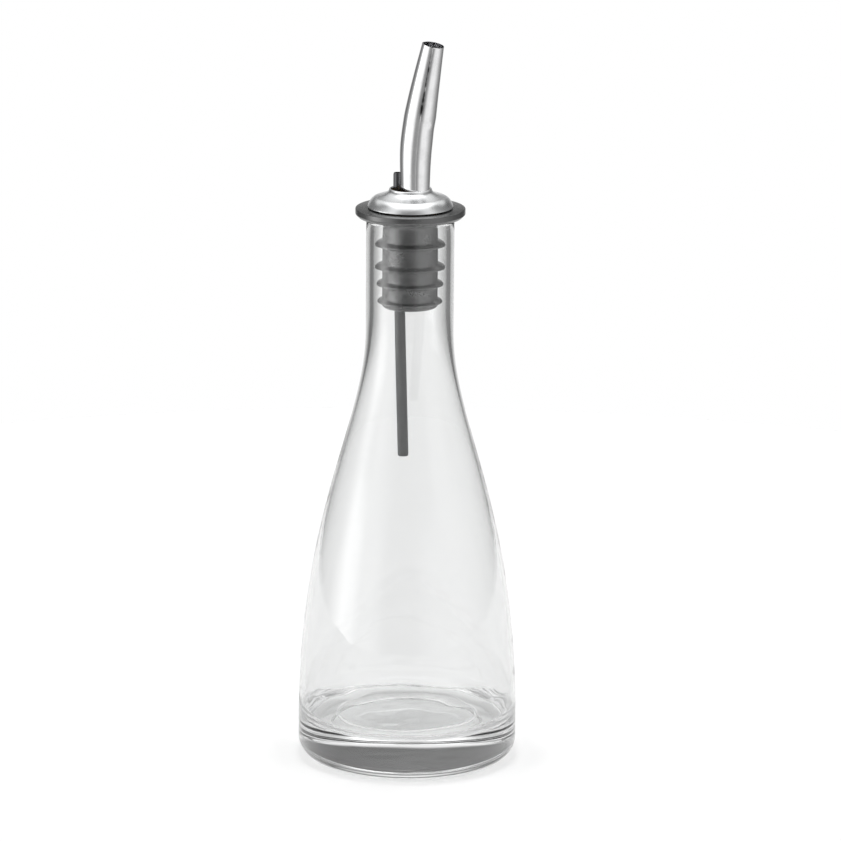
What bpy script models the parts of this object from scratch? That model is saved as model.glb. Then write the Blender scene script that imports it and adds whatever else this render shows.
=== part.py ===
"""Glass oil bottle with a ribbed plug and a bent steel pourer.

Frame: metres, +Z up, origin at the centre of the bottle's underside. The spout
pours towards +X and the air vent stands on the -X side.
"""

from math import atan2, cos, pi, radians, sin, tan

import bmesh
import bpy
from mathutils import Matrix, Vector

MM = 0.001

# Clearances
FIT_GAP = 0.3 * MM  # between two pieces that touch

# Glass bottle
RIM_HEIGHT = 162.4 * MM
BODY_RADIUS = 32.3 * MM
BODY_WALL = 1.1 * MM
BELLY_HEIGHT = 8.0 * MM  # where the widest band ends and the shoulder curve starts
NECK_BORE_RADIUS = 10.68 * MM
NECK_WALL = 2.15 * MM
NECK_LENGTH = 33.4 * MM
BORE_FLARE = 5.0 * MM  # the bore starts to widen this far above the foot of the neck
SHOULDER_LOWER_PULL = 0.56  # Bezier handles, as shares of the shoulder's height
SHOULDER_UPPER_PULL = 0.24
HEEL_RADIUS = 5.5 * MM
FOOT_WIDTH = 4.0 * MM  # flat ring that the bottle stands on
PUNT_DEPTH = 0.9 * MM
PUNT_EASE = 1.2 * MM  # width of the slope round the flat punt
FLOOR_HEIGHT = 12.1 * MM
FLOOR_FILLET = 4.5 * MM
FLOOR_DISC_RADIUS = 20.0 * MM  # raised disc inside the bottle
FLOOR_DISC_STEP = 0.4 * MM
RIM_ROUNDING = 0.9 * MM

# Ribbed plug
FLANGE_OVERHANG = 3.17 * MM  # past the neck's outer wall
FLANGE_THICKNESS = 2.55 * MM
FLANGE_CHAMFER = 0.9 * MM
PLUG_WALL = 1.5 * MM
PLUG_LENGTH = 26.6 * MM  # below the flange
PLUG_SHOULDER_WIDTH = 1.5 * MM
PLUG_SHOULDER_HEIGHT = 1.6 * MM
PLUG_TIP_CHAMFER = 0.5 * MM
FIN_CLEARANCE = 0.45 * MM  # from the longest fin to the neck's bore
FINS = (  # depth of the tip below the flange, root thickness, reach as a share of the longest
    (7.75 * MM, 1.8 * MM, 1.0),
    (14.45 * MM, 1.6 * MM, 1.0),
    (19.55 * MM, 1.6 * MM, 0.76),
    (24.75 * MM, 1.4 * MM, 0.64),
)
FIN_TIP_SHARE = 0.25  # tip thickness as a share of the root's

# Spout
SPOUT_BASE_RADIUS = 4.0 * MM
SPOUT_BELLY_RADIUS = 4.6 * MM
SPOUT_TIP_RADIUS = 3.15 * MM
SPOUT_WALL = 0.45 * MM
SPOUT_HEIGHT = 42.6 * MM  # tip above the boss rim
SPOUT_REACH = 5.4 * MM  # tip past the base towards +X
SPOUT_TIP_LEAN = radians(11.5)
SPOUT_TAIL = 3.2 * MM  # below the tube plate
SPOUT_LOWER_PULL = 10.6 * MM  # Bezier handles of the bend
SPOUT_UPPER_PULL = 28.5 * MM
SPOUT_SWELL_START = 0.1  # as shares of the spout's height
SPOUT_BELLY_AT = 0.5

# Air vent and its hanging breather tube
VENT_RADIUS = 1.25 * MM
VENT_BORE_RADIUS = 0.55 * MM
VENT_STUB = 4.25 * MM  # above the boss rim
VENT_LEAN = radians(1.8)
SPIGOT_RADIUS = 0.9 * MM
SPIGOT_LENGTH = 7.5 * MM
SPIGOT_START = 13.8 * MM  # above the plug's lower end
BREATHER_WALL = 0.38 * MM
BREATHER_DROP = 45.3 * MM  # below the plug's lower end

# Collar dome, sleeve and tube plate
DOME_RADIUS = 12.5 * MM
DOME_CROWN_RADIUS = 10.0 * MM
DOME_CROWN_HEIGHT = 3.05 * MM
DOME_HEIGHT = 5.45 * MM  # rim to boss rim
SHEET = 0.5 * MM  # thickness of the stamped steel
SLEEVE_WALL = 0.5 * MM
SLEEVE_CLEARANCE = 0.1 * MM  # sleeve bore past the boss bore
SLEEVE_FLANGE_WIDTH = 2.6 * MM
SLEEVE_SETBACK = 0.6 * MM  # sleeve end above the plug's lower end
PLATE_THICKNESS = 1.3 * MM
PLATE_RADIUS = 7.8 * MM

# Places worked out from the sizes above
NECK_OUTER_RADIUS = NECK_BORE_RADIUS + NECK_WALL
FLANGE_BOTTOM = RIM_HEIGHT + FIT_GAP
FLANGE_TOP = FLANGE_BOTTOM + FLANGE_THICKNESS
PLUG_BOTTOM = FLANGE_BOTTOM - PLUG_LENGTH
BOSS_BORE = SPOUT_BASE_RADIUS + VENT_RADIUS + 1.5 * FIT_GAP
SPOUT_X = BOSS_BORE - FIT_GAP - SPOUT_BASE_RADIUS
VENT_X = -(BOSS_BORE - FIT_GAP - VENT_RADIUS)
SLEEVE_BORE = BOSS_BORE + SLEEVE_CLEARANCE
SLEEVE_RADIUS = SLEEVE_BORE + SLEEVE_WALL
PLUG_BORE = SLEEVE_RADIUS + FIT_GAP
PLUG_RADIUS = PLUG_BORE + PLUG_WALL
SLEEVE_TOP = FLANGE_TOP + FIT_GAP + SHEET
PLATE_BOTTOM = SLEEVE_TOP + FIT_GAP
DOME_BOTTOM = FLANGE_TOP + FIT_GAP
BOSS_RIM = DOME_BOTTOM + DOME_HEIGHT
SPOUT_BOTTOM = PLATE_BOTTOM - SPOUT_TAIL
SPIGOT_TOP = PLUG_BOTTOM + SPIGOT_START

# Facets round each piece, and along the bottle's shoulder
BOTTLE_SIDES = 44
PLUG_SIDES = 32
DOME_SIDES = 32
TUBE_SIDES = 24
THIN_TUBE_SIDES = 12
SHOULDER_STEPS = 14


def arc(centre, radius, start, end, steps):
    """Points (radius, height) on an arc, angles in degrees from +X towards +Z."""
    angles = [radians(start + (end - start) * i / steps) for i in range(steps + 1)]
    return [(centre[0] + radius * cos(a), centre[1] + radius * sin(a)) for a in angles]


def bezier(points, steps):
    """Points on a cubic Bezier curve, both ends included."""
    curve = []
    for i in range(steps + 1):
        t = i / steps
        weights = ((1 - t) ** 3, 3 * t * (1 - t) ** 2, 3 * t**2 * (1 - t), t**3)
        curve.append(sum((w * Vector(p) for w, p in zip(weights, points)), Vector((0, 0))))
    return [tuple(p) for p in curve]


def add_object(name, bm, material):
    bmesh.ops.recalc_face_normals(bm, faces=bm.faces)
    mesh = bpy.data.meshes.new(name)
    bm.to_mesh(mesh)
    bm.free()
    mesh.shade_smooth()
    mesh.set_sharp_from_angle(angle=radians(40))
    mesh.materials.append(material)
    ob = bpy.data.objects.new(name, mesh)
    bpy.context.scene.collection.objects.link(ob)
    return ob


def turned(name, profile, sides, material, closed=True):
    """Spins a profile of (radius, height) about Z. An open one starts and ends on the axis."""
    bm = bmesh.new()
    verts = [bm.verts.new((r, 0, z)) for r, z in profile]
    pairs = list(zip(verts, verts[1:])) + ([(verts[-1], verts[0])] if closed else [])
    edges = [bm.edges.new(pair) for pair in pairs]
    bmesh.ops.spin(
        bm, geom=verts + edges, cent=(0, 0, 0), axis=(0, 0, 1),
        angle=2 * pi, steps=sides, use_merge=True,
    )
    bmesh.ops.remove_doubles(bm, verts=bm.verts, dist=1e-7)
    return add_object(name, bm, material)


def tube(name, outer, inner, sides, material):
    """A hollow tube through rings (x, z, lean, radius): up the outside, then down the bore."""
    places = [
        Matrix.Translation((x, 0, z)) @ Matrix.Rotation(lean, 4, "Y") @ Matrix.Scale(radius, 4)
        for x, z, lean, radius in outer + inner[::-1]
    ]
    bm = bmesh.new()
    bmesh.ops.create_circle(bm, segments=sides, radius=1, matrix=places[0])
    edges = list(bm.edges)
    for here, there in zip(places, places[1:] + places[:1]):
        made = bmesh.ops.extrude_edge_only(bm, edges=edges)["geom"]
        edges = [e for e in made if isinstance(e, bmesh.types.BMEdge)]
        verts = [v for v in made if isinstance(v, bmesh.types.BMVert)]
        bmesh.ops.transform(bm, matrix=there @ here.inverted(), verts=verts)
    bmesh.ops.remove_doubles(bm, verts=bm.verts, dist=1e-7)
    return add_object(name, bm, material)


def steel(name, roughness):
    return surface(name, (0.62, 0.62, 0.63, 1), roughness, 1.0)


def surface(name, colour, roughness, metallic):
    material = bpy.data.materials.new(name)
    material.use_nodes = True
    shader = material.node_tree.nodes["Principled BSDF"]
    shader.inputs["Base Color"].default_value = colour
    shader.inputs["Roughness"].default_value = roughness
    shader.inputs["Metallic"].default_value = metallic
    return material


def glass_material():
    material = surface("clear_glass", (0.93, 0.95, 0.95, 1), 0.03, 0.0)
    shader = material.node_tree.nodes["Principled BSDF"]
    shader.inputs["Transmission Weight"].default_value = 1.0
    shader.inputs["IOR"].default_value = 1.5
    return material


def shoulder(body_radius, neck_radius, flare=0.0):
    """The bottle's side from the belly up to the foot of the neck, or to a flare above it."""
    low, foot = BELLY_HEIGHT, RIM_HEIGHT - NECK_LENGTH
    rise = foot - low
    return (
        (body_radius, low),
        (body_radius, low + SHOULDER_LOWER_PULL * rise),
        (neck_radius, foot + flare - SHOULDER_UPPER_PULL * rise),
        (neck_radius, foot + flare),
    )


def glass_bottle():
    foot_outer = BODY_RADIUS - HEEL_RADIUS
    foot_inner = foot_outer - FOOT_WIDTH
    inner_body = BODY_RADIUS - BODY_WALL
    fillet_top = FLOOR_HEIGHT + FLOOR_FILLET
    punt = [(0, PUNT_DEPTH)]
    for angle in (radians(d) for d in (90, 60, 30, 0)):
        punt.append((foot_inner - PUNT_EASE * (1 - cos(angle)), PUNT_DEPTH * sin(angle)))
    outside = punt + arc((foot_outer, HEEL_RADIUS), HEEL_RADIUS, -90, 0, 6)
    outside += bezier(shoulder(BODY_RADIUS, NECK_OUTER_RADIUS), SHOULDER_STEPS)
    lip_z = RIM_HEIGHT - RIM_ROUNDING
    outside += arc((NECK_OUTER_RADIUS - RIM_ROUNDING, lip_z), RIM_ROUNDING, 0, 90, 3)
    inside = arc((NECK_BORE_RADIUS + RIM_ROUNDING, lip_z), RIM_ROUNDING, 90, 180, 3)
    wall = bezier(shoulder(inner_body, NECK_BORE_RADIUS, BORE_FLARE), SHOULDER_STEPS)[::-1]
    inside += [p for p in wall if p[1] > fillet_top + 1 * MM]
    centre = (inner_body - FLOOR_FILLET, fillet_top)
    inside += arc(centre, FLOOR_FILLET, 0, -90, 5)
    step = FLOOR_DISC_STEP
    inside += [(FLOOR_DISC_RADIUS + step, FLOOR_HEIGHT), (FLOOR_DISC_RADIUS, FLOOR_HEIGHT + step)]
    inside += [(0, FLOOR_HEIGHT + step)]
    turned("glass_bottle", outside + inside, BOTTLE_SIDES, glass_material(), closed=False)


def ribbed_plug():
    flange = NECK_OUTER_RADIUS + FLANGE_OVERHANG
    reach = NECK_BORE_RADIUS - FIN_CLEARANCE - PLUG_RADIUS
    shoulder_radius = PLUG_RADIUS + PLUG_SHOULDER_WIDTH
    profile = [
        (PLUG_BORE, FLANGE_TOP),
        (flange, FLANGE_TOP),
        (flange, FLANGE_BOTTOM + FLANGE_CHAMFER),
        (flange - FLANGE_CHAMFER, FLANGE_BOTTOM),
        (min(shoulder_radius, NECK_BORE_RADIUS - FIN_CLEARANCE), FLANGE_BOTTOM),
        (PLUG_RADIUS, FLANGE_BOTTOM - PLUG_SHOULDER_HEIGHT),
    ]
    for depth, thickness, share in FINS:
        z = FLANGE_BOTTOM - depth
        tip = PLUG_RADIUS + reach * share
        edge = thickness * FIN_TIP_SHARE
        profile += [
            (PLUG_RADIUS, z + thickness / 2),
            (tip, z + edge / 2),
            (tip, z - edge / 2),
            (PLUG_RADIUS, z - thickness / 2),
        ]
    profile += [
        (PLUG_RADIUS, PLUG_BOTTOM + PLUG_TIP_CHAMFER),
        (PLUG_RADIUS - PLUG_TIP_CHAMFER, PLUG_BOTTOM),
        (PLUG_BORE, PLUG_BOTTOM),
    ]
    rubber = surface("grey_rubber", (0.14, 0.145, 0.145, 1), 0.45, 0.0)
    turned("ribbed_plug", profile, PLUG_SIDES, rubber)


def shank_sleeve():
    bottom = PLUG_BOTTOM + SLEEVE_SETBACK
    flange = SLEEVE_RADIUS + SLEEVE_FLANGE_WIDTH
    under_flange = SLEEVE_TOP - SHEET
    profile = [
        (SLEEVE_BORE, SLEEVE_TOP),
        (flange, SLEEVE_TOP),
        (flange, under_flange),
        (SLEEVE_RADIUS, under_flange),
        (SLEEVE_RADIUS, bottom),
        (SLEEVE_BORE, bottom),
    ]
    turned("shank_sleeve", profile, DOME_SIDES, steel("sleeve_steel", 0.3))


def collar_dome():
    boss = BOSS_BORE + SHEET
    crown = DOME_BOTTOM + DOME_CROWN_HEIGHT
    skirt = bezier(
        (
            (DOME_RADIUS, DOME_BOTTOM),
            (DOME_RADIUS - 0.3 * MM, DOME_BOTTOM + 1.3 * MM),
            (DOME_CROWN_RADIUS + 1.2 * MM, crown - 0.2 * MM),
            (DOME_CROWN_RADIUS, crown),
        ),
        6,
    )
    saddle = bezier(
        (
            (DOME_CROWN_RADIUS, crown),
            (boss + 1.6 * MM, crown + 0.5 * MM),
            (boss, BOSS_RIM - 1.2 * MM),
            (boss, BOSS_RIM),
        ),
        6,
    )
    outside = skirt + saddle[1:]
    inside = [
        (DOME_RADIUS - SHEET, DOME_BOTTOM),
        (DOME_RADIUS - 1.2 * SHEET, DOME_BOTTOM + 0.9 * MM),
        (DOME_CROWN_RADIUS + 0.5 * MM, crown - 1.6 * SHEET),
        (DOME_CROWN_RADIUS - 0.6 * MM, crown - SHEET),
        (BOSS_BORE + 0.9 * MM, crown - 0.2 * SHEET),
        (BOSS_BORE, crown + 0.9 * MM),
        (BOSS_BORE, BOSS_RIM),
    ]
    turned("collar_dome", outside + inside[::-1], DOME_SIDES, steel("dome_steel", 0.15))


def tube_plate():
    profile = [
        (0, PLATE_BOTTOM),
        (PLATE_RADIUS, PLATE_BOTTOM),
        (PLATE_RADIUS, PLATE_BOTTOM + PLATE_THICKNESS),
        (0, PLATE_BOTTOM + PLATE_THICKNESS),
    ]
    brass = surface("brass", (0.72, 0.55, 0.28, 1), 0.35, 1.0)
    plate = turned("tube_plate", profile, DOME_SIDES, brass, closed=False)
    for name, x, radius in (
        ("spout_hole", SPOUT_X, SPOUT_BASE_RADIUS),
        ("vent_hole", VENT_X, VENT_RADIUS),
    ):
        bm = bmesh.new()
        bmesh.ops.create_cone(
            bm, segments=TUBE_SIDES, radius1=radius + FIT_GAP, radius2=radius + FIT_GAP,
            depth=4 * PLATE_THICKNESS, cap_ends=True,
            matrix=Matrix.Translation((x, 0, PLATE_BOTTOM + PLATE_THICKNESS / 2)),
        )
        hole = add_object(name, bm, brass)
        hole.hide_render = True
        hole.display_type = "WIRE"
        cut = plate.modifiers.new(name, "BOOLEAN")
        cut.operation = "DIFFERENCE"
        cut.object = hole


def spout_tube():
    steps = 12
    start, end = (SPOUT_X, BOSS_RIM), (SPOUT_X + SPOUT_REACH, BOSS_RIM + SPOUT_HEIGHT)
    pull = SPOUT_UPPER_PULL
    handle = (end[0] - pull * sin(SPOUT_TIP_LEAN), end[1] - pull * cos(SPOUT_TIP_LEAN))
    line = bezier((start, (start[0], start[1] + SPOUT_LOWER_PULL), handle, end), steps)
    places = [(SPOUT_X, SPOUT_BOTTOM)] + line
    pairs = zip(places, places[2:])
    leans = [atan2(after[0] - before[0], after[1] - before[1]) for before, after in pairs]
    leans = [0.0] + leans + [SPOUT_TIP_LEAN]
    outer = [(x, z, lean, spout_radius(z)) for (x, z), lean in zip(places, leans)]
    inner = [(x, z, lean, radius - SPOUT_WALL) for x, z, lean, radius in outer]
    tube("spout_tube", outer, inner, TUBE_SIDES, steel("spout_steel", 0.12))


def spout_radius(z):
    """Straight past the vent, then swelling to the belly and tapering to the tip."""
    height = (z - BOSS_RIM) / SPOUT_HEIGHT
    if height < SPOUT_BELLY_AT:
        share = max(0, height - SPOUT_SWELL_START) / (SPOUT_BELLY_AT - SPOUT_SWELL_START)
        return SPOUT_BASE_RADIUS + (SPOUT_BELLY_RADIUS - SPOUT_BASE_RADIUS) * sin(pi / 2 * share)
    share = (height - SPOUT_BELLY_AT) / (1 - SPOUT_BELLY_AT)
    return SPOUT_BELLY_RADIUS + (SPOUT_TIP_RADIUS - SPOUT_BELLY_RADIUS) * share**1.15


def vent_x(z):
    """Centre of the vent line: upright through the plate, then leaning in below it."""
    return VENT_X + max(0, SPOUT_BOTTOM - z) * tan(VENT_LEAN)


def vent_tube():
    lean = -VENT_LEAN
    spigot_end = SPIGOT_TOP - SPIGOT_LENGTH
    outer = [
        (vent_x(spigot_end), spigot_end, lean, SPIGOT_RADIUS),
        (vent_x(SPIGOT_TOP), SPIGOT_TOP, lean, SPIGOT_RADIUS),
        (vent_x(SPIGOT_TOP), SPIGOT_TOP, lean, VENT_RADIUS),
        (VENT_X, SPOUT_BOTTOM, lean / 2, VENT_RADIUS),
        (VENT_X, BOSS_RIM + VENT_STUB, 0, VENT_RADIUS),
    ]
    inner = [(x, z, turn, VENT_BORE_RADIUS) for x, z, turn, _ in outer if z != SPIGOT_TOP]
    tube("vent_tube", outer, inner, THIN_TUBE_SIDES, steel("vent_steel", 0.35))


def breather_tube():
    top, bottom = SPIGOT_TOP - FIT_GAP, PLUG_BOTTOM - BREATHER_DROP
    bore = SPIGOT_RADIUS + FIT_GAP
    ends = [(vent_x(z), z, -VENT_LEAN) for z in (bottom, top)]
    outer = [end + (bore + BREATHER_WALL,) for end in ends]
    inner = [end + (bore,) for end in ends]
    plastic = surface("grey_plastic", (0.17, 0.175, 0.175, 1), 0.4, 0.0)
    tube("breather_tube", outer, inner, THIN_TUBE_SIDES, plastic)


def main():
    for ob in list(bpy.data.objects):
        bpy.data.objects.remove(ob, do_unlink=True)
    glass_bottle()
    ribbed_plug()
    shank_sleeve()
    collar_dome()
    tube_plate()
    spout_tube()
    vent_tube()
    breather_tube()


main()
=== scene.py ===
"""Looks of the glass oil bottle: fine glass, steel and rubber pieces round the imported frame."""

from math import atan2, cos, exp, pi, radians, sin, sqrt

import bmesh
import bpy
from mathutils import Matrix, Vector, noise


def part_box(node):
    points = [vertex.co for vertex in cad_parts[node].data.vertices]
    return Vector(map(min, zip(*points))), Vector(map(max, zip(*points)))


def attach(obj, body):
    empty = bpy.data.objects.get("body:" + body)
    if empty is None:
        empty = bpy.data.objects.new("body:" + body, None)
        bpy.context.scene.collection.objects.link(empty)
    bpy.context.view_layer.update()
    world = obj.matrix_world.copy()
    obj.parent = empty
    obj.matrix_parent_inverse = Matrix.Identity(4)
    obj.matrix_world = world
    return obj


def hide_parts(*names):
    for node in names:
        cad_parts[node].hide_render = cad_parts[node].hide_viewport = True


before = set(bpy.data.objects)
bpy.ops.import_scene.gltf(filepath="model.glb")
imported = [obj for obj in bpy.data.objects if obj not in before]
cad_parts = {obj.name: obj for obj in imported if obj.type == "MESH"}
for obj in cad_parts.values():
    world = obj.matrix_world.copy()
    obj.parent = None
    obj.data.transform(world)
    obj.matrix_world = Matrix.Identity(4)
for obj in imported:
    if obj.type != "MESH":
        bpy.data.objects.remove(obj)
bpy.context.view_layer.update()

MM = 0.001

# Sizes that the frame gives
_, bottle_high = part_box("glass_bottle")
plug_low, plug_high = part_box("ribbed_plug")
dome_low, dome_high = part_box("collar_dome")
sleeve_low, sleeve_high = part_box("shank_sleeve")
spout_low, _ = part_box("spout_tube")
vent_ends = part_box("vent_tube")
breather_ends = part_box("breather_tube")
BODY_RADIUS = bottle_high[0]
RIM = bottle_high[2]
FLANGE_TOP = plug_high[2]
FLANGE_RADIUS = plug_high[0]
PLUG_BOTTOM = plug_low[2]
SLEEVE_BOTTOM, SLEEVE_TOP = sleeve_low[2], sleeve_high[2]
SLEEVE_FLANGE = sleeve_high[0]
SPOUT_BOTTOM = spout_low[2]
DOME_BOTTOM, BOSS_RIM = dome_low[2], dome_high[2]
DOME_RADIUS = dome_high[0]

# Glass bottle
BODY_WALL = 1.1 * MM
BELLY_HEIGHT = 8 * MM  # where the shoulder curve starts
NECK_BORE = 10.68 * MM
NECK_RADIUS = 12.83 * MM
NECK_FOOT = RIM - 33.4 * MM
BORE_FLARE = 5 * MM  # the bore starts to widen this far above the foot of the neck
LOWER_PULL, UPPER_PULL = 0.56, 0.24  # handles, as shares of the shoulder's height
HEEL_RADIUS = 5.5 * MM
FOOT_RADIUS = BODY_RADIUS - HEEL_RADIUS
FOOT_WIDTH = 4 * MM
PUNT_DEPTH, PUNT_EASE = 0.9 * MM, 1.2 * MM
PUNT_RADIUS = FOOT_RADIUS - FOOT_WIDTH
HAMMER_SIZE, HAMMER_DEPTH, HAMMER_EDGE = 7 * MM, 0.1 * MM, 3 * MM  # uneven underside
FLOOR = 12.1 * MM
RIPPLE_DEPTH, RIPPLE_FADE = 0.34 * MM, 18 * MM  # uneven lower wall
RIPPLE_BOTTOM, RIPPLE_TOP = FLOOR + 1 * MM, 60 * MM
RIPPLES_ACROSS, RIPPLES_UP = 60, 420  # per metre
FLOOR_FILLET = 4.5 * MM
DISC_RADIUS = 20 * MM
DISC_STEP = 0.4 * MM
GROOVE_RADIUS = 0.35 * MM  # round the foot of the raised disc
LIP = 0.9 * MM
BOTTLE_SIDES = 144
SHOULDER_STEPS = 90

# Ribbed plug
FLANGE_BOTTOM = RIM + 0.3 * MM
PLUG_RADIUS = 8.1 * MM
PLUG_BORE = 6.6 * MM
FLANGE_CHAMFER = 0.9 * MM
PLUG_SHOULDER_WIDTH, PLUG_SHOULDER_HEIGHT = 1.5 * MM, 1.6 * MM
PLUG_TIP_CHAMFER = 0.5 * MM
FIN_REACH = NECK_BORE - 0.45 * MM - PLUG_RADIUS
FINS = (  # depth of the tip below the flange, root thickness, reach as a share of the longest
    (7.75 * MM, 1.8 * MM, 1.0),
    (14.45 * MM, 1.6 * MM, 1.0),
    (19.55 * MM, 1.6 * MM, 0.76),
    (24.75 * MM, 1.4 * MM, 0.64),
)
FIN_TIP_SHARE = 0.12  # half of the tip's thickness, as a share of the root's
PLUG_SIDES = 96

# Sleeve and dome
SHEET = 0.5 * MM
BOSS_BORE = 5.7 * MM
BOSS_RADIUS = BOSS_BORE + SHEET
CROWN_RADIUS, CROWN_HEIGHT = 10 * MM, 3.05 * MM
SLEEVE_RADIUS, SLEEVE_BORE = PLUG_BORE - 0.3 * MM, PLUG_BORE - 0.8 * MM
STAKE_ANGLE, STAKE_DROP = radians(-65), 1 * MM  # place round the boss and below its rim
STAKE_DEPTH, STAKE_RADIUS = 0.3 * MM, 0.55 * MM
STAKE_RIM_HEIGHT, STAKE_RIM_AT, STAKE_RIM_WIDTH = 0.1 * MM, 0.85 * MM, 0.25 * MM
STAKE_REACH = 2 * MM
DOME_SIDES = 192

# Spout, vent and breather
SPOUT_X = 1.4 * MM
SPOUT_BASE, SPOUT_BELLY, SPOUT_TIP = 4.22 * MM, 4.6 * MM, 3.15 * MM
SPOUT_REACH, SPOUT_HEIGHT = 5.4 * MM, 42.6 * MM
LOWER_HANDLE, UPPER_HANDLE = 10.6 * MM, 28.5 * MM
TIP_LEAN = radians(11.5)
BELLY_AT = 0.5  # share of the spout's height
HUMP_DEPTH, HUMP_AT, HUMP_WIDTH = 0.2 * MM, 0.3, 0.14  # on the outside of the bend
DIP_DEPTH, DIP_AT, DIP_WIDTH = 0.14 * MM, 0.42, 0.06  # on the inside of the bend
SPOUT_TAIL_SHARE = 0.16  # of the rows that shape the spout, hidden in the boss and below it
SPOUT_WALL = 0.45 * MM
SEAM_ANGLE = radians(-62)
SEAM_START, SEAM_RISE = 0.5, 0.06  # where the seam opens, as shares of the spout's height
SEAM_DEPTH, SEAM_WIDTH = 0.3 * MM, 0.16 * MM
# Width of the painted shade that darkens the spout's opened seam
SEAM_SHADE_WIDTH = 0.26 * MM
CROWDING = 0.88  # of the spout's points at the seam
VENT_X = -4.15 * MM
VENT_RADIUS = 1.25 * MM
VENT_WALL = 0.35 * MM
VENT_LEAN = radians(1.8)
BREATHER_RADIUS = 1.58 * MM
BREATHER_WALL = 0.36 * MM
TUBE_END_EASE = 0.15 * MM
TUBE_END_DRAW = 0.12 * MM
SPOUT_SIDES, SPOUT_ROWS = 160, 110
TUBE_SIDES, TUBE_ROW = 40, 0.5 * MM

# View
VIEW_AZIMUTH, VIEW_PITCH = radians(25), radians(14.24)
CAMERA_DISTANCE, CAMERA_HEIGHT = 1.44, 0.467
CAMERA_ASIDE = 3.36 * MM
CAMERA_ROLL = radians(0.41)
CAMERA_LENS = 216.9

# Light in the studio by bearing: degrees from straight behind the bottle, and a level
LOW_RING = (
    (-180, 0.34), (-172, 0.3), (-160, 0.3), (-152, 0.42), (-145, 0.85), (-138, 1.15),
    (-122, 1.2), (-111, 2.3), (-98, 2.6), (-88, 1.4), (-78, 0.5), (-64, 0.25), (-50, 0.2),
    (-38, 0.12), (-33, 0.2), (-26, 0.45), (-13, 0.75), (-5, 0.9), (5, 0.9), (13, 0.75),
    (26, 0.45), (32, 0.12), (43, 0.2), (60, 0.28), (74, 0.4), (86, 0.55), (96, 0.7),
    (116, 0.95), (150, 0.9), (162, 0.65), (171, 0.4), (180, 0.34),
)
HIGH_RING = (
    (-180, 0.22), (-160, 0.25), (-140, 0.8), (-124, 1.2), (-108, 0.7), (-88, 0.35),
    (-60, 0.2), (-30, 0.16), (0, 0.16), (30, 0.12), (60, 0.15), (100, 0.4), (115, 0.9),
    (135, 0.9), (150, 0.4), (180, 0.25),
)
SKY_RING = ((-180, 0), (-75, 0), (-50, 0.75), (50, 0.75), (75, 0), (180, 0))
CEILING = 1.75
HIGH_FROM, SKY_FROM, CEILING_FROM = (6, 13), (23, 32), (45, 60)  # degrees up, start and end
FLOOR_RADIUS = 0.42
FLOOR_GAP = 0.05 * MM  # air between the foot's glass and the floor
FLOOR_GLOW = 0.12  # added where the eye sees the floor without glass between


# ---------------------------------------------------------------- shader maths


class Value:
    """One output of a shader node, with Python's operators."""

    def __init__(self, shader, socket):
        self.shader, self.socket = shader, socket

    def __add__(self, other):
        return self.shader.math("ADD", self, other)

    def __rsub__(self, other):
        return self.shader.math("SUBTRACT", other, self)

    def __mul__(self, other):
        return self.shader.math("MULTIPLY", self, other)

    def __truediv__(self, other):
        return self.shader.math("DIVIDE", self, other)

    __radd__ = __add__


class Shader:
    """The node tree of a material or of the world."""

    def __init__(self, tree):
        self.tree = tree

    def node(self, kind, settings=None, inputs=None, output=0):
        made = self.tree.nodes.new(kind)
        for name, value in (settings or {}).items():
            if name == "stops":
                stops = made.color_ramp.elements
                while len(stops) < len(value):
                    stops.new(1)
                for stop, (position, level) in zip(stops, value):
                    stop.position, stop.color = position, (level, level, level, 1)
            else:
                setattr(made, name, value)
        for name, value in (inputs or {}).items():
            self.feed(made.inputs[name], value)
        return Value(self, made.outputs[output])

    def feed(self, socket, value):
        if isinstance(value, Value):
            self.tree.links.new(value.socket, socket)
        else:
            socket.default_value = value

    def math(self, operation, *values):
        settings = {"operation": operation}
        return self.node("ShaderNodeMath", settings, dict(enumerate(values)))

    def ramp(self, value, *stops, smooth=True):
        colours = self.node("ShaderNodeValToRGB", {"stops": stops}, {"Fac": value})
        if smooth:
            colours.socket.node.color_ramp.interpolation = "EASE"
        return colours

    def ring(self, bearing, levels):
        """Light by bearing: degrees from straight behind the bottle, to the right, and a level."""
        brightest = max(level for _, level in levels)
        stops = [((degrees + 180) / 360, level / brightest) for degrees, level in levels]
        return self.ramp(bearing / 360 + 0.5, *stops, smooth=False) * brightest

    def ease(self, value, start, end):
        """Rises from 0 at start to 1 at end."""
        settings = {"interpolation_type": "SMOOTHSTEP"}
        return self.node("ShaderNodeMapRange", settings, {"Value": value, 1: start, 2: end})

    def mix(self, share, first, second):
        """A colour from first to second."""
        inputs = {0: share, 6: first, 7: second}
        return self.node("ShaderNodeMix", {"data_type": "RGBA"}, inputs, output=2)

    def place(self, stretch=(1, 1, 1)):
        where = self.node("ShaderNodeTexCoord", output=3)
        return self.node("ShaderNodeMapping", None, {"Vector": where, "Scale": stretch})

    def noise(self, scale, detail=3, stretch=(1, 1, 1), roughness=0.5):
        inputs = {
            "Vector": self.place(stretch),
            "Scale": scale,
            "Detail": detail,
            "Roughness": roughness,
        }
        return self.node("ShaderNodeTexNoise", None, inputs)

    def bump(self, height, strength, distance):
        inputs = {"Height": height, "Strength": strength, "Distance": distance}
        return self.node("ShaderNodeBump", None, inputs)


def new_material(name, **uniform):
    """A material and its Principled node, with the values that are the same all over."""
    material = bpy.data.materials.new(name)
    material.use_nodes = True
    surface = material.node_tree.nodes["Principled BSDF"]
    for socket, value in uniform.items():
        surface.inputs[socket.replace("_", " ")].default_value = value
    return material, surface, Shader(material.node_tree)


# ---------------------------------------------------------------- materials


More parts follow.
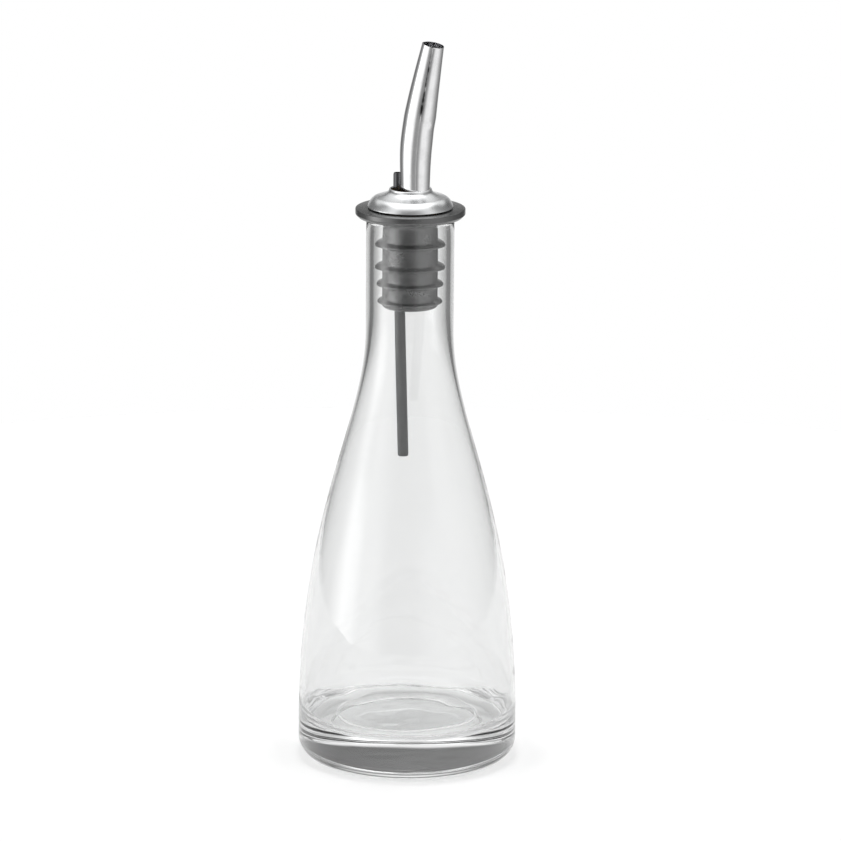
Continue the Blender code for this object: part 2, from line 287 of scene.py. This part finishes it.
def clear_glass():
    material, surface, shader = new_material(
        "clear_glass", Transmission_Weight=1.0, IOR=1.5, Base_Color=(0.966, 0.97, 0.969, 1)
    )
    waves = shader.noise(55, detail=2, stretch=(1, 1, 1.6))
    smudges = shader.ramp(shader.noise(130, detail=4), (0.5, 0), (0.75, 1))
    shader.feed(surface.inputs["Roughness"], smudges * 0.003)
    shader.feed(surface.inputs["Normal"], shader.bump(waves, 0.2, 0.25 * MM))
    return material


def steel(name, colour, roughness, along=1.0):
    """Polished steel with faint draw lines, small scratches and handling smudges."""
    material, surface, shader = new_material(name, Metallic=1.0)
    smudges = shader.ramp(shader.noise(260, detail=5), (0.4, 0), (0.7, 1))
    lines = shader.noise(900, detail=2, stretch=(1, 1, along))
    pits = shader.ramp(shader.noise(2600, detail=1), (0.72, 0), (0.8, 1))
    # Painted shade: the steel turns near-black where the spout's seam opens, read from each point's
    # seam shade value, and is rougher there too
    painted_seam_shade = shader.node("ShaderNodeAttribute", {"attribute_name": "stain"}, output=2)
    dark = tuple(0.88 * c for c in colour[:3]) + (1,)
    worn = shader.mix(smudges * 0.6 + pits * 0.4, colour, dark)
    shader.feed(surface.inputs["Base Color"], shader.mix(painted_seam_shade, worn, (0.02, 0.02, 0.02, 1)))
    shader.feed(surface.inputs["Roughness"], roughness + smudges * 0.07 + lines * 0.05 + painted_seam_shade * 0.2)
    height = lines * 0.6 + pits * 0.4
    shader.feed(surface.inputs["Normal"], shader.bump(height, 0.12, 0.02 * MM))
    return material


def grey_rubber():
    material, surface, shader = new_material("grey_rubber", Metallic=0.0, IOR=2.1)
    mottle = shader.noise(180, detail=5)
    grain = shader.noise(3200, detail=2)
    rings = shader.noise(420, detail=2, stretch=(0.15, 0.15, 1))
    colour = shader.mix(mottle, (0.012, 0.0125, 0.0125, 1), (0.026, 0.027, 0.027, 1))
    shader.feed(surface.inputs["Base Color"], colour)
    shader.feed(surface.inputs["Roughness"], 0.2 + mottle * 0.08 + grain * 0.04)
    height = grain * 0.4 + rings * 0.6
    shader.feed(surface.inputs["Normal"], shader.bump(height, 0.25, 0.05 * MM))
    return material


def grey_plastic():
    material, surface, shader = new_material("grey_plastic", Metallic=0.0, IOR=1.5)
    streaks = shader.noise(700, detail=3, stretch=(1, 1, 0.05))
    colour = shader.mix(streaks, (0.09, 0.092, 0.092, 1), (0.14, 0.142, 0.142, 1))
    shader.feed(surface.inputs["Base Color"], colour)
    shader.feed(surface.inputs["Roughness"], 0.28 + streaks * 0.15)
    shader.feed(surface.inputs["Normal"], shader.bump(streaks, 0.2, 0.03 * MM))
    return material


def braze_brass():
    material, surface, shader = new_material("braze_brass", Metallic=1.0)
    blotch = shader.noise(700, detail=4)
    colour = shader.mix(blotch, (0.72, 0.55, 0.28, 1), (0.5, 0.33, 0.16, 1))
    shader.feed(surface.inputs["Base Color"], colour)
    shader.feed(surface.inputs["Roughness"], 0.28 + blotch * 0.3)
    shader.feed(surface.inputs["Normal"], shader.bump(blotch, 0.3, 0.1 * MM))
    return material


def floor_white():
    material, surface, shader = new_material("floor_white", Metallic=0.0)
    cloud = shader.noise(3, detail=2)
    colour = shader.mix(cloud, (0.9, 0.9, 0.9, 1), (0.92, 0.92, 0.92, 1))
    shader.feed(surface.inputs["Base Color"], colour)
    shader.feed(surface.inputs["Roughness"], 0.75 + cloud * 0.1)
    eye = shader.node("ShaderNodeLightPath") * FLOOR_GLOW
    glow = shader.node("ShaderNodeCombineColor", None, {0: eye, 1: eye, 2: eye})
    shader.feed(surface.inputs["Emission Color"], glow)
    surface.inputs["Emission Strength"].default_value = 1.0
    return material


# ---------------------------------------------------------------- mesh helpers


def arc(centre, radius, start, end, steps=12):
    """Points (radius, height) on an arc, angles in degrees from outwards towards up."""
    angles = [radians(start + (end - start) * i / steps) for i in range(steps + 1)]
    return [(centre[0] + radius * cos(a), centre[1] + radius * sin(a)) for a in angles]


def cubic(points, t):
    """The point at t, from 0 to 1, on a cubic Bezier curve."""
    weights = ((1 - t) ** 3, 3 * t * (1 - t) ** 2, 3 * t**2 * (1 - t), t**3)
    return sum((w * Vector(p) for w, p in zip(weights, points)), Vector((0, 0)))


def bezier(points, steps):
    """Points along a cubic Bezier curve, both ends included."""
    return [tuple(cubic(points, i / steps)) for i in range(steps + 1)]


def bell(x, middle, width):
    """A soft bump, 1 in the middle and near 0 at twice the width."""
    return exp(-(((x - middle) / width) ** 2))


def rounded(corners, steps=5):
    """A closed outline through (radius, height, fillet), each corner turned on its fillet."""
    outline = []
    for i, (r, z, fillet) in enumerate(corners):
        here = Vector((r, z))
        back = (Vector(corners[i - 1][:2]) - here).normalized()
        ahead = (Vector(corners[(i + 1) % len(corners)][:2]) - here).normalized()
        half = back.angle(ahead) / 2
        if not fillet or half > 1.5:
            outline.append((r, z))
            continue
        trim = fillet * cos(half) / sin(half)
        centre = here + (back + ahead).normalized() * fillet / sin(half)
        first, last = here + back * trim - centre, here + ahead * trim - centre
        turn = first.angle_signed(last)
        for k in range(steps + 1):
            spoke = Matrix.Rotation(-turn * k / steps, 2) @ first
            outline.append(tuple(centre + spoke))
    return outline


def turned(profile, sides, closed=True):
    """Spins an outline of (radius, height) about Z. An open one starts and ends on the axis."""
    bm = bmesh.new()
    verts = [bm.verts.new((r, 0, z)) for r, z in profile]
    pairs = list(zip(verts, verts[1:])) + ([(verts[-1], verts[0])] if closed else [])
    edges = [bm.edges.new(pair) for pair in pairs]
    bmesh.ops.spin(
        bm, geom=verts + edges, cent=(0, 0, 0), axis=(0, 0, 1),
        angle=2 * pi, steps=sides, use_merge=True,
    )
    bmesh.ops.remove_doubles(bm, verts=bm.verts, dist=1e-7)
    bmesh.ops.recalc_face_normals(bm, faces=bm.faces)
    return bm


def sleeve_shell(sides, rows, bend, stain=None):
    """An open tube of unit radius and length whose points go where bend(angle, share) says.

    A stain(angle, share) from 0 to 1, painted shade for a seam's opening, is kept on each point for
    the material to read.
    """
    bm = bmesh.new()
    layer = bm.verts.layers.float.new("stain")
    bmesh.ops.create_circle(bm, segments=sides, radius=1)
    edges = list(bm.edges)
    for _ in range(rows):
        made = bmesh.ops.extrude_edge_only(bm, edges=edges)["geom"]
        edges = [e for e in made if isinstance(e, bmesh.types.BMEdge)]
        verts = [v for v in made if isinstance(v, bmesh.types.BMVert)]
        bmesh.ops.translate(bm, vec=(0, 0, 1 / rows), verts=verts)
    bmesh.ops.recalc_face_normals(bm, faces=bm.faces)
    for vert in bm.verts:
        place = atan2(vert.co.y, vert.co.x), vert.co.z
        vert[layer] = stain(*place) if stain else 0.0
        vert.co = bend(*place)
    return bm


def add_piece(bm, name, material, body, slot, *nodes, sharp=35):
    """Puts a finished mesh in the scene, on its moving body, in place of a solid's plain look."""
    if bm.calc_volume(signed=True) < 0:
        bmesh.ops.reverse_faces(bm, faces=bm.faces)
    mesh = bpy.data.meshes.new(name)
    bm.to_mesh(mesh)
    bm.free()
    mesh.shade_smooth()
    mesh.set_sharp_from_angle(angle=radians(sharp))
    mesh.materials.append(material)
    piece = bpy.data.objects.new(name, mesh)
    bpy.context.scene.collection.objects.link(piece)
    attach(piece, body)
    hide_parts(*nodes)


# ---------------------------------------------------------------- pieces


def shoulder(body_radius, neck_radius, flare=0.0):
    """The side from the belly up to the foot of the neck, or to a flare above it."""
    rise = NECK_FOOT - BELLY_HEIGHT
    return (
        (body_radius, BELLY_HEIGHT),
        (body_radius, BELLY_HEIGHT + LOWER_PULL * rise),
        (neck_radius, NECK_FOOT + flare - UPPER_PULL * rise),
        (neck_radius, NECK_FOOT + flare),
    )


def glass_outside():
    """From the middle of the punt round the foot and up to the top of the rim."""
    flat = PUNT_RADIUS - PUNT_EASE
    outline = [(flat * i / 12, PUNT_DEPTH) for i in range(12)]
    for i in range(11):
        a = radians(90 - 9 * i)
        outline.append((PUNT_RADIUS - PUNT_EASE * (1 - cos(a)), PUNT_DEPTH * sin(a)))
    outline += arc((FOOT_RADIUS, HEEL_RADIUS), HEEL_RADIUS, -90, 0, 16)
    outline += bezier(shoulder(BODY_RADIUS, NECK_RADIUS), SHOULDER_STEPS)[1:]
    top = RIM - LIP
    outline += [(NECK_RADIUS, NECK_FOOT + (top - NECK_FOOT) * i / 8) for i in range(1, 8)]
    return outline + arc((NECK_RADIUS - LIP, top), LIP, 0, 90, 8)


def glass_inside():
    """From the rim down the bore and the wall to the middle of the raised disc."""
    inner_body = BODY_RADIUS - BODY_WALL
    fillet_top = FLOOR + FLOOR_FILLET
    top, flare_top = RIM - LIP, NECK_FOOT + BORE_FLARE
    outline = arc((NECK_BORE + LIP, top), LIP, 90, 180, 8)
    outline += [(NECK_BORE, top - (top - flare_top) * i / 8) for i in range(1, 8)]
    wall = bezier(shoulder(inner_body, NECK_BORE, BORE_FLARE), SHOULDER_STEPS)[::-1]
    outline += [p for p in wall if p[1] > fillet_top + 0.5 * MM]
    outline += arc((inner_body - FLOOR_FILLET, fillet_top), FLOOR_FILLET, 0, -90, 12)
    disc_edge, disc_top = DISC_RADIUS + DISC_STEP, FLOOR + DISC_STEP
    outline += arc((disc_edge + GROOVE_RADIUS, FLOOR), GROOVE_RADIUS, 0, -180, 10)
    outline += arc((disc_edge, disc_top), DISC_STEP, -150, -180, 3)
    return outline + [(DISC_RADIUS * (1 - i / 12), disc_top) for i in range(1, 13)]


def bottle():
    """One piece of glass, turned and then made faintly uneven."""
    bm = turned(glass_outside() + glass_inside(), BOTTLE_SIDES, closed=False)
    hammer(bm)
    ripple(bm)
    add_piece(bm, "bottle_glass", clear_glass(), "bottle", "clear_glass", "glass_bottle", sharp=60)


def hammer(bm):
    """Makes the punt faintly uneven, fading out at its edge."""
    for vert in bm.verts:
        radius = sqrt(vert.co.x**2 + vert.co.y**2)
        if radius < PUNT_RADIUS and vert.co.z < 1.5 * PUNT_DEPTH:
            edge = min(1, (PUNT_RADIUS - radius) / HAMMER_EDGE)
            swing = noise.noise(Vector((vert.co.x, vert.co.y, 0)) / HAMMER_SIZE)
            vert.co.z += swing * edge * HAMMER_DEPTH


def ripple(bm):
    """Faint rings inside the lower wall, as blown glass has."""
    inner_body = BODY_RADIUS - BODY_WALL
    for vert in bm.verts:
        radius = sqrt(vert.co.x**2 + vert.co.y**2)
        height = vert.co.z
        if not RIPPLE_BOTTOM <= height < RIPPLE_TOP or radius >= BODY_RADIUS - 0.6 * BODY_WALL:
            continue
        fade = exp(-((height - FLOOR) / RIPPLE_FADE) ** 2)
        x, y = vert.co.x * RIPPLES_ACROSS, vert.co.y * RIPPLES_ACROSS
        swing = noise.noise(Vector((x, y, height * RIPPLES_UP)))
        shift = 1 + swing * fade * RIPPLE_DEPTH / inner_body
        vert.co.x *= shift
        vert.co.y *= shift


def plug():
    """Flange, core and fins in one outline, each corner with its own fillet."""
    corners = [
        (PLUG_BORE, FLANGE_TOP, 0.1 * MM),
        (FLANGE_RADIUS, FLANGE_TOP, 0.3 * MM),
        (FLANGE_RADIUS, FLANGE_BOTTOM + FLANGE_CHAMFER, 0.4 * MM),
        (FLANGE_RADIUS - FLANGE_CHAMFER, FLANGE_BOTTOM, 0.3 * MM),
        (PLUG_RADIUS + PLUG_SHOULDER_WIDTH, FLANGE_BOTTOM, 0.15 * MM),
        (PLUG_RADIUS, FLANGE_BOTTOM - PLUG_SHOULDER_HEIGHT, 0.4 * MM),
    ]
    for depth, thickness, share in FINS:
        z, reach = FLANGE_BOTTOM - depth, FIN_REACH * share
        corners += [
            (PLUG_RADIUS, z + thickness / 2, 0.3 * MM),
            (PLUG_RADIUS + reach, z + thickness * FIN_TIP_SHARE, 0.14 * MM),
            (PLUG_RADIUS + reach, z - thickness * FIN_TIP_SHARE, 0.14 * MM),
            (PLUG_RADIUS, z - thickness / 2, 0.3 * MM),
        ]
    corners += [
        (PLUG_RADIUS, PLUG_BOTTOM + PLUG_TIP_CHAMFER, 0.2 * MM),
        (PLUG_RADIUS - PLUG_TIP_CHAMFER, PLUG_BOTTOM, 0.2 * MM),
        (PLUG_BORE, PLUG_BOTTOM, 0.15 * MM),
    ]
    bm = turned(rounded(corners, 4), PLUG_SIDES)
    add_piece(bm, "plug_rubber", grey_rubber(), "stopper", "grey_rubber", "ribbed_plug", sharp=50)


def sleeve(material):
    """A tube through the plug's bore, with a flange on top of the plug."""
    corners = [
        (SLEEVE_BORE, SLEEVE_TOP, 0.1 * MM),
        (SLEEVE_FLANGE, SLEEVE_TOP, 0.1 * MM),
        (SLEEVE_FLANGE, SLEEVE_TOP - SHEET, 0.1 * MM),
        (SLEEVE_RADIUS, SLEEVE_TOP - SHEET, 0.1 * MM),
        (SLEEVE_RADIUS, SLEEVE_BOTTOM, 0.2 * MM),
        (SLEEVE_BORE, SLEEVE_BOTTOM, 0.2 * MM),
    ]
    bm = turned(rounded(corners, 3), PLUG_SIDES)
    add_piece(bm, "sleeve_steel", material, "pourer", "polished_steel", "shank_sleeve")


def dome(material):
    """A stamped dome: hem, skirt, crown and a saddle up to the boss, then back inside."""
    boss = BOSS_RADIUS
    crown = DOME_BOTTOM + CROWN_HEIGHT
    skirt = bezier(
        (
            (DOME_RADIUS, DOME_BOTTOM + 0.2 * MM),
            (DOME_RADIUS - 0.3 * MM, DOME_BOTTOM + 1.3 * MM),
            (CROWN_RADIUS + 1.2 * MM, crown - 0.2 * MM),
            (CROWN_RADIUS, crown),
        ),
        16,
    )
    saddle = bezier(
        (
            (CROWN_RADIUS, crown),
            (boss + 1.6 * MM, crown + 0.5 * MM),
            (boss, BOSS_RIM - 1.2 * MM),
            (boss, BOSS_RIM - 0.15 * MM),
        ),
        20,
    )
    lip = arc((boss - 0.25 * MM, BOSS_RIM - 0.2 * MM), 0.2 * MM, 20, 160, 6)
    inside = [
        (DOME_RADIUS - SHEET, DOME_BOTTOM),
        (DOME_RADIUS - 1.2 * SHEET, DOME_BOTTOM + 0.9 * MM),
        (CROWN_RADIUS + 0.5 * MM, crown - 1.6 * SHEET),
        (CROWN_RADIUS - 0.6 * MM, crown - SHEET),
        (BOSS_BORE + 0.9 * MM, crown - 0.2 * SHEET),
        (BOSS_BORE, crown + 0.9 * MM),
        (BOSS_BORE, BOSS_RIM - 0.3 * MM),
    ]
    hem = arc((DOME_RADIUS - 0.2 * MM, DOME_BOTTOM + 0.2 * MM), 0.2 * MM, -90, 0, 4)
    bm = turned(hem + skirt[1:] + saddle[1:] + lip + inside[::-1], DOME_SIDES)
    stake(bm)
    add_piece(bm, "dome_steel", material, "pourer", "polished_steel", "collar_dome", sharp=50)


def stake(bm):
    """The punched mark that locks the boss to the spout."""
    mark = Vector((cos(STAKE_ANGLE), sin(STAKE_ANGLE), 0)) * BOSS_RADIUS
    mark.z = BOSS_RIM - STAKE_DROP
    for vert in bm.verts:
        away = (vert.co - mark).length
        if away > STAKE_REACH:
            continue
        dent = STAKE_DEPTH * bell(away, 0, STAKE_RADIUS)
        dent -= STAKE_RIM_HEIGHT * bell(away, STAKE_RIM_AT, STAKE_RIM_WIDTH)
        vert.co += Vector((-vert.co.x, -vert.co.y, 0)).normalized() * dent


def spout_line(share):
    """Centre and lean of the spout, from its hidden lower end up to the tip."""
    if share < SPOUT_TAIL_SHARE:
        z = SPOUT_BOTTOM + (BOSS_RIM - SPOUT_BOTTOM) * share / SPOUT_TAIL_SHARE
        return Vector((SPOUT_X, 0, z)), 0.0
    t = (share - SPOUT_TAIL_SHARE) / (1 - SPOUT_TAIL_SHARE)
    start = Vector((SPOUT_X, BOSS_RIM))
    end = start + Vector((SPOUT_REACH, SPOUT_HEIGHT))
    handle = end - UPPER_HANDLE * Vector((sin(TIP_LEAN), cos(TIP_LEAN)))
    points = (start, start + Vector((0, LOWER_HANDLE)), handle, end)
    centre = cubic(points, t)
    steps = [there - here for here, there in zip(points, points[1:])]
    along = (1 - t) ** 2 * steps[0] + 2 * t * (1 - t) * steps[1] + t**2 * steps[2]
    return Vector((centre[0], 0, centre[1])), atan2(along[0], along[1])


def height_share(centre):
    """Height above the boss, as a share of the spout's."""
    return max(0, (centre.z - BOSS_RIM) / SPOUT_HEIGHT)


def seam_open(height):
    """The rolled edges meet tightly in the lower half of the spout and part above it."""
    return min(1, max(0, (height - SEAM_START) / SEAM_RISE))


def spout_seam_shade(angle, share):
    """Painted shade in the opened seam, strongest where the seam opens and again near the tip."""
    centre, _ = spout_line(share)
    height = height_share(centre)
    across = (angle - CROWDING * sin(angle)) * SPOUT_TIP
    uneven = 0.75 + 0.5 * noise.noise(Vector((0, 0, 30 * height)))
    wide = 1 + 0.8 * bell(height, SEAM_START + 0.1, 0.08) + 0.5 * bell(height, 0.85, 0.1)
    return min(1, seam_open(height) * bell(across, 0, SEAM_SHADE_WIDTH * wide) * uneven * 2)


def spout_point(angle, share):
    """Where a point of the spout's skin lies. Points crowd together at the seam."""
    packed = angle - CROWDING * sin(angle)
    around = SEAM_ANGLE + packed
    centre, lean = spout_line(share)
    height = height_share(centre)
    if height < BELLY_AT:
        swell = sin(pi / 2 * height / BELLY_AT)
        radius = SPOUT_BASE + (SPOUT_BELLY - SPOUT_BASE) * swell
    else:
        taper = ((height - BELLY_AT) / (1 - BELLY_AT)) ** 1.15
        radius = SPOUT_BELLY + (SPOUT_TIP - SPOUT_BELLY) * taper
    radius -= SEAM_DEPTH * seam_open(height) * bell(packed * radius, 0, SEAM_WIDTH)
    radius += HUMP_DEPTH * bell(height, HUMP_AT, HUMP_WIDTH) * max(0, -cos(around)) ** 2
    radius -= DIP_DEPTH * bell(height, DIP_AT, DIP_WIDTH) * max(0, cos(around)) ** 3
    across = Matrix.Rotation(lean, 3, "Y") @ Vector((cos(around), sin(around), 0))
    return centre + across * radius


def spout(material):
    """A tapered tube with a rolled seam, bent towards the side it pours to."""
    bm = sleeve_shell(SPOUT_SIDES, SPOUT_ROWS, spout_point, spout_seam_shade)
    bmesh.ops.solidify(bm, geom=bm.faces, thickness=SPOUT_WALL)
    add_piece(bm, "spout_steel", material, "pourer", "polished_steel", "spout_tube", sharp=50)


def thin_tube(name, ends, radius, wall, material, slot, node):
    """A thin tube on the vent's line, which leans in below the spout's end, with eased ends."""
    low, high = (corner[2] for corner in ends)

    def point(angle, share):
        z = low + (high - low) * share
        from_end = min(share, 1 - share) * (high - low)
        r = radius - TUBE_END_DRAW * max(0, 1 - from_end / TUBE_END_EASE)
        x = VENT_X + max(0, SPOUT_BOTTOM - z) * sin(VENT_LEAN)
        return Vector((x + r * cos(angle), r * sin(angle), z))

    rows = int((high - low) / TUBE_ROW)
    bm = sleeve_shell(TUBE_SIDES, rows, point)
    bmesh.ops.solidify(bm, geom=bm.faces, thickness=wall)
    add_piece(bm, name, material, "pourer", slot, node)


# ---------------------------------------------------------------- room


def floor():
    """A white disc just below the foot, so that a film of air stays under the glass."""
    bm = bmesh.new()
    low = Matrix.Translation((0, 0, -FLOOR_GAP))
    bmesh.ops.create_circle(bm, cap_ends=True, segments=128, radius=FLOOR_RADIUS, matrix=low)
    mesh = bpy.data.meshes.new("floor")
    bm.to_mesh(mesh)
    bm.free()
    mesh.materials.append(floor_white())
    ob = bpy.data.objects.new("floor", mesh)
    bpy.context.scene.collection.objects.link(ob)


def camera():
    """A long lens that looks down a little at the bottle's -Y side."""
    back = Vector((sin(VIEW_AZIMUTH), -cos(VIEW_AZIMUTH), 0))
    aside = Vector((cos(VIEW_AZIMUTH), sin(VIEW_AZIMUTH), 0))
    data = bpy.data.cameras.new("camera")
    data.lens = CAMERA_LENS
    data.sensor_width = 36
    data.clip_end = 50
    ob = bpy.data.objects.new("camera", data)
    turn = Matrix.Rotation(VIEW_AZIMUTH, 4, "Z") @ Matrix.Rotation(pi / 2 - VIEW_PITCH, 4, "X")
    spot = back * CAMERA_DISTANCE + aside * CAMERA_ASIDE + Vector((0, 0, CAMERA_HEIGHT))
    ob.matrix_world = Matrix.Translation(spot) @ turn @ Matrix.Rotation(CAMERA_ROLL, 4, "Z")
    bpy.context.scene.collection.objects.link(ob)
    bpy.context.scene.camera = ob


def studio():
    """A white room for the eye. Glass and steel mirror rings of light, low, high and behind."""
    world = bpy.data.worlds.new("studio")
    bpy.context.scene.world = world
    world.use_nodes = True
    shader = Shader(world.node_tree)
    turn = {"Vector": shader.node("ShaderNodeTexCoord"), "Rotation": (0, 0, -VIEW_AZIMUTH)}
    towards = shader.node("ShaderNodeMapping", None, turn)
    split = shader.node("ShaderNodeSeparateXYZ", None, {"Vector": towards}).socket.node.outputs
    right, behind, up = (Value(shader, split[i]) for i in range(3))
    bearing = shader.math("ARCTAN2", right, behind) * (180 / pi)
    rise = shader.math("ARCSINE", up) * (180 / pi)
    low = shader.ring(bearing, LOW_RING)
    high = shader.ring(bearing, HIGH_RING)
    above = shader.ease(rise, *HIGH_FROM)
    overhead = shader.ease(rise, *CEILING_FROM)
    sky = shader.ring(bearing, SKY_RING) * shader.ease(rise, *SKY_FROM)
    sides = low * (1 - above) + high * above + sky
    light = sides * (1 - overhead) + overhead * CEILING
    eye = shader.node("ShaderNodeLightPath")
    background = world.node_tree.nodes["Background"]
    grey = shader.node("ShaderNodeCombineColor", None, {0: light, 1: light, 2: light})
    shader.feed(background.inputs["Color"], shader.mix(eye, grey, (1, 1, 1, 1)))


def brass_plate():
    """The plate's own solid is shown. Only from above can it be seen, inside the boss."""
    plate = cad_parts["tube_plate"]
    plate.data.materials.clear()
    plate.data.materials.append(braze_brass())


def view_settings():
    scene = bpy.context.scene
    scene.view_settings.view_transform = "Standard"
    scene.cycles.max_bounces = 32
    scene.cycles.transmission_bounces = 24
    scene.cycles.glossy_bounces = 24
    scene.cycles.blur_glossy = 0.0


def main():
    polished = steel("polished_steel", (0.9, 0.9, 0.905, 1), 0.1)
    stamped = steel("stamped_steel", (0.8, 0.81, 0.815, 1), 0.24)
    # Painted reflection: the vent's steel gets a near-black colour that stands in for the dark
    # surroundings it mirrors
    painted_dark_steel = steel("dull_steel", (0.1, 0.1, 0.104, 1), 0.2, along=0.1)
    bottle()
    plug()
    sleeve(polished)
    dome(stamped)
    spout(polished)
    thin_tube("vent_steel", vent_ends, VENT_RADIUS, VENT_WALL, painted_dark_steel, "dull_steel", "vent_tube")
    thin_tube(
        "breather_plastic", breather_ends, BREATHER_RADIUS, BREATHER_WALL,
        grey_plastic(), "grey_plastic", "breather_tube",
    )
    brass_plate()
    floor()
    camera()
    studio()
    view_settings()


main()
